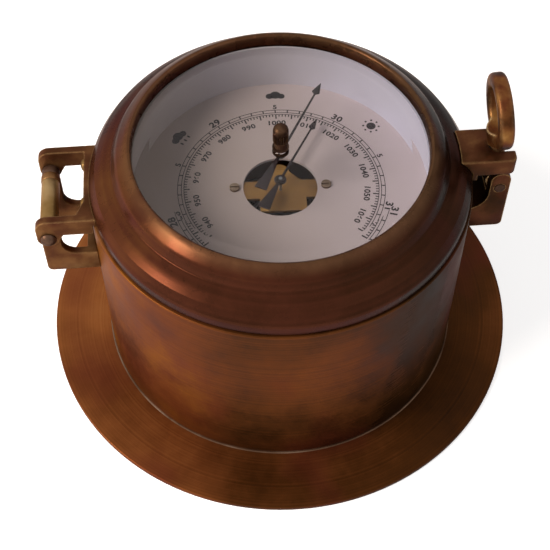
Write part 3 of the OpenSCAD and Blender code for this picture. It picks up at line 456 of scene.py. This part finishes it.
# Dial print.
# One pass of screen ink: a band of inch ticks between two lines, millibar ticks hanging from a
# third, plain numbers and three weather signs. The ink gives a thin, slightly worn violet black.
ink = bpy.data.materials.new("black_screen_ink")
tree = new_tree(ink)
wear_mm = 1.111
wear = add(tree, "ShaderNodeTexNoise", {"Scale": 1 / (wear_mm * MM), "Detail": 3.0},
           {"Vector": add(tree, "ShaderNodeTexCoord").outputs["Object"]}).outputs["Fac"]
thin = add(tree, "ShaderNodeValToRGB", {"stops": [(0.35, "#0f0c10"), (0.7, "#221c20")]},
           {"Fac": wear})
film = add(tree, "ShaderNodeBump", {"Strength": 0.05, "Distance": 0.02 * MM}, {"Height": wear})
shader = add(tree, "ShaderNodeBsdfPrincipled", {"Roughness": 0.5, "Specular IOR Level": 0.3},
             {"Base Color": thin.outputs["Color"], "Normal": film.outputs[0]})
add(tree, "ShaderNodeOutputMaterial", None, {"Surface": shader.outputs[0]})
dial_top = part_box("dial")[1].z / MM
print_turn, print_right, print_up = 1.25, 0.4, 0.15
sign_r, sign_size = 44.0, 1.5
print_mesh = bmesh.new()


def clockwise(degrees):
    centre = Matrix.Translation((print_right * MM, print_up * MM, dial_top * MM))
    return centre @ Matrix.Rotation(-math.radians(print_turn + degrees), 4, "Z")


def tick(degrees, inner, outer, width):
    place = clockwise(degrees) @ Matrix.Translation((0, (inner + outer) / 2 * MM, 0))
    size = Matrix.Diagonal((width * MM, (outer - inner) * MM, 1, 1))
    bmesh.ops.create_grid(print_mesh, x_segments=1, y_segments=1, size=0.5, matrix=place @ size)


def arc_line(radius, width, reach):
    place = clockwise(reach)
    ends = [print_mesh.verts.new(place @ Vector((0, r * MM, 0)))
            for r in (radius - width / 2, radius + width / 2)]
    edge = print_mesh.edges.new(ends)
    bmesh.ops.spin(print_mesh, geom=ends + [edge], cent=place.translation, axis=(0, 0, 1),
                   angle=math.radians(2 * reach), steps=160, use_duplicate=False)


def numeral(text, degrees, radius, height):
    digit_share, digit_step, bolder, wider = 0.72, 1.08, 0.045, 1.12
    letters = bpy.data.curves.new("numeral", "FONT")
    letters.body = text
    letters.size = height / digit_share * MM
    letters.space_character = digit_step
    letters.align_x = "CENTER"
    letters.align_y = "CENTER"
    letters.offset = bolder * height * MM
    holder = bpy.data.objects.new("numeral", letters)
    flat = bpy.data.meshes.new_from_object(holder)
    place = clockwise(degrees) @ Matrix.Translation((0, radius * MM, 0))
    flat.transform(place @ Matrix.Diagonal((wider, 1, 1, 1)))
    print_mesh.from_mesh(flat)
    bpy.data.objects.remove(holder)
    bpy.data.curves.remove(letters)
    bpy.data.meshes.remove(flat)


def spot(degrees, across, up, size, sides=20, stretch=1.0):
    place = Matrix.Translation((across * sign_size * MM, (sign_r + up * sign_size) * MM, 0))
    bmesh.ops.create_circle(print_mesh, cap_ends=True, segments=sides,
                            radius=size * sign_size * MM,
                            matrix=clockwise(degrees) @ place @ Matrix.Diagonal((1, stretch, 1, 1)))


scale_end, line_w = 129.5, 0.25
band_out, band_in, hang = 36.95, 35.6, 34.7
for line_r in (band_out, band_in, hang):
    arc_line(line_r, line_w, scale_end)
degrees_per_mb, middle_mb, mb_numeral_r, mb_numeral_h = 1.985, 1000, 30.4, 2.1
long_tick, short_tick, long_w, short_w = 2.1, 1.1, 0.5, 0.4
for mb in range(935, 1066):
    long, wide = (long_tick, long_w) if mb % 5 == 0 else (short_tick, short_w)
    tick((mb - middle_mb) * degrees_per_mb, hang - long, hang, wide)
degrees_per_inch, middle_inch, inch_lag, inch_tick_w = 71.5, 29.5, 0.2, 0.44
inch_numeral_r, inch_numeral_h, half_numeral_r, half_numeral_h = 38.7, 2.6, 38.4, 2.0
for tenth in range(277, 314):
    angle = (tenth / 10 - middle_inch) * degrees_per_inch - inch_lag
    tick(angle, band_in, band_out, inch_tick_w)
    if tenth % 10 == 0:
        numeral(str(tenth // 10), angle, inch_numeral_r, inch_numeral_h)
    elif tenth % 5 == 0:
        numeral("5", angle, half_numeral_r, half_numeral_h)
for mb in range(940, 1061, 10):
    numeral(str(mb), (mb - middle_mb) * degrees_per_mb, mb_numeral_r, mb_numeral_h)
sun_place, cloud_place, rain_place = 52.3, 0.3, -55.0
sun_disc, rays, ray_reach, ray_size = 1.15, 8, 1.9, 0.28
spot(sun_place, 0, 0, sun_disc)
for ray in range(rays):
    turn = 2 * math.pi * ray / rays
    spot(sun_place, ray_reach * math.sin(turn), ray_reach * math.cos(turn), ray_size, 10)
for place in (cloud_place, rain_place):
    for across, up, size in ((-1.35, 0.1, 1.0), (0.1, 0.45, 1.35), (1.5, 0.0, 0.95)):
        spot(place, across, up, size, 20, 0.9)
for across in (-1.3, 0.1, 1.5):
    spot(rain_place, across, -1.75, 0.25, 10, 2.0)
ink_t, ink_lift = 0.03, 0.004
ink_top = bmesh.ops.extrude_face_region(print_mesh, geom=print_mesh.faces[:])["geom"]
bmesh.ops.translate(print_mesh, verts=[v for v in ink_top if isinstance(v, bmesh.types.BMVert)],
                    vec=(0, 0, ink_t * MM))
bmesh.ops.translate(print_mesh, verts=print_mesh.verts[:], vec=(0, 0, ink_lift * MM))
bmesh.ops.recalc_face_normals(print_mesh, faces=print_mesh.faces[:])
dial_print = finish_piece("dial_print", print_mesh, None, ink)
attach(dial_print, "case")

# Hinge and clasp castings.
# Small sand castings of yellow brass, filed on their faces. They give brown metal, darker in the
# hollows, with thin lighter lines where hands have worn the edges.
cast_brass = aged_brass("filed_cast_brass", [
    (0.24, "#20130b"), (0.40, "#38210f"), (0.52, "#53321f"), (0.62, "#6f4c2e"),
    (0.80, "#8f6d48")], patch_mm=16.0, lathe=None, blush=("#451d18", 0.4),
    edge=("#a8865a", 0.6, 0.7), pit=0.3, painted_side_shade=0.12)


def eased(name, node, material, width=0.55, segments=3):
    bm = bmesh.new()
    bm.from_mesh(frame["nodes"][node].data)
    bmesh.ops.remove_doubles(bm, verts=bm.verts[:], dist=1e-6)
    bmesh.ops.dissolve_limit(bm, angle_limit=math.radians(1.0), verts=bm.verts[:],
                             edges=bm.edges[:])
    crisp = [e for e in bm.edges
             if len(e.link_faces) == 2 and e.calc_face_angle() > math.radians(35)]
    bmesh.ops.bevel(bm, geom=crisp, offset=width * MM, offset_type="OFFSET", segments=segments,
                    profile=0.5, affect="EDGES", clamp_overlap=True, material=-1)
    finish_piece(name, bm, node, material)


eased("door_lug_casting", "door_hinge_lug", cast_brass)
eased("hinge_bracket_casting", "hinge_bracket", cast_brass)
eased("clasp_bracket_casting", "clasp_bracket", cast_brass)
eased("fork_casting", "door_fork", cast_brass)

# Eye nut and bolt.
# The nut is a coarse sand casting that fingers turn, the bolt is turned rod. They give rims
# rubbed bright over red-brown hollows, and the nut's corners run soft into each other.
handled_brass = aged_brass("handled_cast_brass", [
    (0.24, "#2c180d"), (0.40, "#472915"), (0.50, "#643c20"), (0.62, "#81592f"),
    (0.78, "#a88253")], patch_mm=9.0, lathe=None, rough=0.36, blush=("#55231a", 0.45),
    edge=("#cbb083", 0.8, 1.1), pit=0.6, painted_side_shade=0.0)
skin_mm, fillet_share, fillet_rounds = 0.28, 0.5, 14
eye = bmesh.new()
eye.from_mesh(frame["nodes"]["eye_nut"].data)
bmesh.ops.remove_doubles(eye, verts=eye.verts[:], dist=1e-6)
eye_nut = finish_piece("eye_nut_casting", eye, "eye_nut", handled_brass, 60.0)
skin = eye_nut.modifiers.new("sand_cast_skin", "REMESH")
skin.mode, skin.voxel_size, skin.use_smooth_shade = "VOXEL", skin_mm * MM, True
fillets = eye_nut.modifiers.new("cast_fillets", "SMOOTH")
fillets.factor, fillets.iterations = fillet_share, fillet_rounds
eased("clamp_bolt_shank", "swing_bolt", handled_brass, 0.25, 2)

# Hinge barrel.
# A turned tube of yellow brass that spins on the pin. Rubbing keeps it the palest and
# yellowest part of the hinge.
barrel_brass = aged_brass("worn_yellow_brass", [
    (0.24, "#3e2c17"), (0.42, "#614a2a"), (0.52, "#7c6038"), (0.64, "#937750"),
    (0.80, "#ab9168")], patch_mm=16.0, lathe=None, rough=0.36, blush=None, pit=0.2)
eased("barrel_tube", "hinge_barrel", barrel_brass, 0.2, 2)

# Lug screws.
# Two round-headed brass screws hold the lug's web to the door ring. They are newer than the
# rest, and as yellow and bright as the barrel.
web_x, head_r, head_bulge = -68.7, 2.3, 0.6
lug_screws = bmesh.new()
for across, up in ((-6.8, 80.4), (10.3, 81.0)):
    head = Matrix.Translation((web_x * MM, across * MM, up * MM))
    bmesh.ops.create_uvsphere(lug_screws, u_segments=20, v_segments=10, radius=head_r * MM,
                              matrix=head @ Matrix.Diagonal((head_bulge, 1, 1, 1)))
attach(finish_piece("lug_screws", lug_screws, None, barrel_brass), "door")

# Hinge pin, thrust washer and clasp pin.
# Brass rod and a turned washer. Age and old grease give them an almost black brown with a low
# shine.
pin_brass = aged_brass("dark_greasy_brass", [
    (0.25, "#2a1c15"), (0.50, "#46332a"), (0.75, "#6a5142")], patch_mm=8.0, lathe=None,
    rough=0.38, blush=None, pit=0.15)
eased("hinge_pin_rod", "hinge_pin", pin_brass, 0.2, 2)
eased("clasp_pin_rod", "clasp_pin", pin_brass, 0.25, 2)
eased("thrust_washer", "hinge_washer", pin_brass, 0.2, 2)

# Hands.
# Thin spring steel, cut out and heated until it turned black. It gives a dull violet black with
# a slight sheen.
black_steel = bpy.data.materials.new("blackened_spring_steel")
tree = new_tree(black_steel)
oxide_mm = 2.381
oxide = add(tree, "ShaderNodeTexNoise", {"Scale": 1 / (oxide_mm * MM), "Detail": 4.0},
            {"Vector": add(tree, "ShaderNodeTexCoord").outputs["Object"]}).outputs["Fac"]
tint = add(tree, "ShaderNodeValToRGB", {"stops": [(0.3, "#100b0d"), (0.7, "#251a1c")]},
           {"Fac": oxide})
sheen = add(tree, "ShaderNodeMapRange", {"To Min": 0.35, "To Max": 0.55}, {"Value": oxide})
scale = add(tree, "ShaderNodeBump", {"Strength": 0.05, "Distance": 0.05 * MM},
            {"Height": oxide})
shader = add(tree, "ShaderNodeBsdfPrincipled", {"Metallic": 0.3, "Specular IOR Level": 0.3},
             {"Base Color": tint.outputs["Color"], "Roughness": sheen.outputs[0],
              "Normal": scale.outputs[0]})
add(tree, "ShaderNodeOutputMaterial", None, {"Surface": shader.outputs[0]})
eased("pointer_blade", "pointer", black_steel, 0.12, 2)
eased("set_hand_blade", "set_hand", black_steel, 0.12, 2)

# Setting knob and bush.
# A turned brass knob: a foot that grips the spindle, a knurled grip, a groove and a plain dome.
# The grease of fingers gives it a dull brown. The bush under it is as dark as the hinge pin.
knob_brass = aged_brass("brown_knurled_brass", [
    (0.25, "#241813"), (0.45, "#3e2b20"), (0.6, "#56402f"), (0.8, "#776048")], patch_mm=6.0,
    lathe=None, rough=0.44, blush=("#4a2a2c", 0.5), pit=0.3, painted_side_shade=0.0)
low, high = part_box("set_knob")
knob_foot, knob_top, knob_r = low.z / MM, high.z / MM, high.x / MM
foot_h, dome_h, groove_d = 2.6, 3.0, 0.5
grip_low, grip_high, foot_r = knob_foot + foot_h, knob_top - dome_h, 0.8 * knob_r
# The real knurls are finer; 24 of them, each cut to 0.86 of the radius, are enough to show.
knurls, knurl_cut = 24, 0.86
side = [(0.0, knob_foot), (foot_r, knob_foot), (foot_r, grip_low - 0.3),
        (knob_r - 0.1, grip_low), (knob_r - 0.1, grip_low + 0.3), (knob_r, grip_low + 0.45),
        (knob_r, grip_high - 0.4), (knob_r - groove_d, grip_high - 0.25),
        (knob_r - groove_d, grip_high + 0.05), (knob_r, grip_high + 0.2),
        (knob_r, grip_high + 0.8), (0.9 * knob_r, knob_top - 1.2),
        (0.66 * knob_r, knob_top - 0.45), (0.35 * knob_r, knob_top - 0.1), (0.0, knob_top)]
knob = bmesh.new()
verts = [knob.verts.new((x * MM, 0, z * MM)) for x, z in side]
edges = [knob.edges.new(pair) for pair in zip(verts, verts[1:])]
bmesh.ops.spin(knob, geom=verts + edges, cent=(0, 0, 0), axis=(0, 0, 1), angle=2 * math.pi,
               steps=knurls * 2, use_merge=True, use_duplicate=False)
bmesh.ops.remove_doubles(knob, verts=knob.verts[:], dist=1e-7)
valleys = [v for v in knob.verts if (grip_low + 0.4) * MM < v.co.z < (grip_high - 0.35) * MM
           and round(math.atan2(v.co.y, v.co.x) / math.pi * knurls) % 2]
bmesh.ops.scale(knob, verts=valleys, vec=(knurl_cut, knurl_cut, 1.0))
bmesh.ops.recalc_face_normals(knob, faces=knob.faces[:])
finish_piece("knurled_knob", knob, "set_knob", knob_brass, 25.0)
coat("spindle_bush", pin_brass)

# Movement and dial screws.
# Plates and pillars of lacquered brass gone brown, clean grey steel for what moves, a browned steel
# base plate and dull nickel screws, all brushed. Each gives its own tone under parallel strokes.


def brushed(name, stops, rough, stroke_mm=0.4):
    material = bpy.data.materials.new(name)
    tree = new_tree(material)
    place = add(tree, "ShaderNodeTexCoord").outputs["Object"]
    stain_mm = 7.692
    # The real strokes are under 0.1 mm wide; they are drawn at about 0.4 mm to show.
    long = add(tree, "ShaderNodeMapping", {"Scale": (0.06, 1.0, 1.0)}, {"Vector": place}).outputs[0]
    strokes = add(tree, "ShaderNodeTexNoise",
                  {"Scale": 1 / (stroke_mm * MM), "Detail": 4.0, "Roughness": 0.7},
                  {"Vector": long}).outputs["Fac"]
    stain = add(tree, "ShaderNodeTexNoise", {"Scale": 1 / (stain_mm * MM), "Detail": 3.0},
                {"Vector": place}).outputs["Fac"]
    tone = add(tree, "ShaderNodeMix", {"data_type": "FLOAT", 0: 0.6},
               {2: strokes, 3: stain}).outputs[0]
    tint = add(tree, "ShaderNodeValToRGB", {"stops": stops}, {"Fac": tone})
    bump = add(tree, "ShaderNodeBump", {"Strength": 0.1, "Distance": 0.05 * MM},
               {"Height": strokes})
    gloss = add(tree, "ShaderNodeMapRange", {"To Min": rough - 0.08, "To Max": rough + 0.1},
                {"Value": strokes})
    shader = add(tree, "ShaderNodeBsdfPrincipled", {"Metallic": 0.8, "Specular IOR Level": 0.3},
                 {"Base Color": tint.outputs["Color"], "Roughness": gloss.outputs[0],
                  "Normal": bump.outputs[0]})
    add(tree, "ShaderNodeOutputMaterial", None, {"Surface": shader.outputs[0]})
    return material


plate_brass = brushed("brushed_lacquered_brass", [
    (0.3, "#5f4426"), (0.5, "#7c5a33"), (0.7, "#97733f")], 0.4, 0.5)
movement_steel = brushed("brushed_steel", [
    (0.3, "#57585a"), (0.5, "#77797b"), (0.7, "#999b9c")], 0.36)
for node in ("bridge_plate", "pillars", "rocker_cocks", "adjusting_screw"):
    coat(node, plate_brass)
for node in ("set_spindle", "pointer_arbor", "capsule", "main_spring", "main_lever",
             "rocking_shaft", "chain", "hairspring"):
    coat(node, movement_steel)
coat("dial_screws", brushed("tarnished_nickel", [
    (0.3, "#4a3a2e"), (0.5, "#6b5747"), (0.7, "#8a7663")], 0.4))
coat("movement_plate", brushed("browned_steel", [
    (0.3, "#17100c"), (0.5, "#261b15"), (0.7, "#382a21")], 0.45))

# Back cover, lugs and screws.
# A pressed sheet disc with a sprayed coat of black paint, screwed to four brass lugs. The paint
# gives a black with a slight orange peel and paler scuffs, beside the brown of the brass.
black_paint = bpy.data.materials.new("black_sprayed_paint")
tree = new_tree(black_paint)
place = add(tree, "ShaderNodeTexCoord").outputs["Object"]
peel_mm, scuff_mm = 1.4286, 25
peel = add(tree, "ShaderNodeTexNoise", {"Scale": 1 / (peel_mm * MM), "Detail": 2.0},
           {"Vector": place}).outputs["Fac"]
scuff = add(tree, "ShaderNodeTexNoise",
            {"Scale": 1 / (scuff_mm * MM), "Detail": 6.0, "Roughness": 0.7},
            {"Vector": place}).outputs["Fac"]
tint = add(tree, "ShaderNodeValToRGB", {"stops": [(0.35, "#17161a"), (0.75, "#2e2c2f")]},
           {"Fac": scuff})
sheen = add(tree, "ShaderNodeMapRange", {"To Min": 0.3, "To Max": 0.55}, {"Value": scuff})
bump = add(tree, "ShaderNodeBump", {"Strength": 0.15, "Distance": 0.1 * MM}, {"Height": peel})
shader = add(tree, "ShaderNodeBsdfPrincipled", None,
             {"Base Color": tint.outputs["Color"], "Roughness": sheen.outputs[0],
              "Normal": bump.outputs[0]})
add(tree, "ShaderNodeOutputMaterial", None, {"Surface": shader.outputs[0]})
coat("back_cover", black_paint)
for node in ("back_lugs", "back_screws"):
    coat(node, plate_brass)
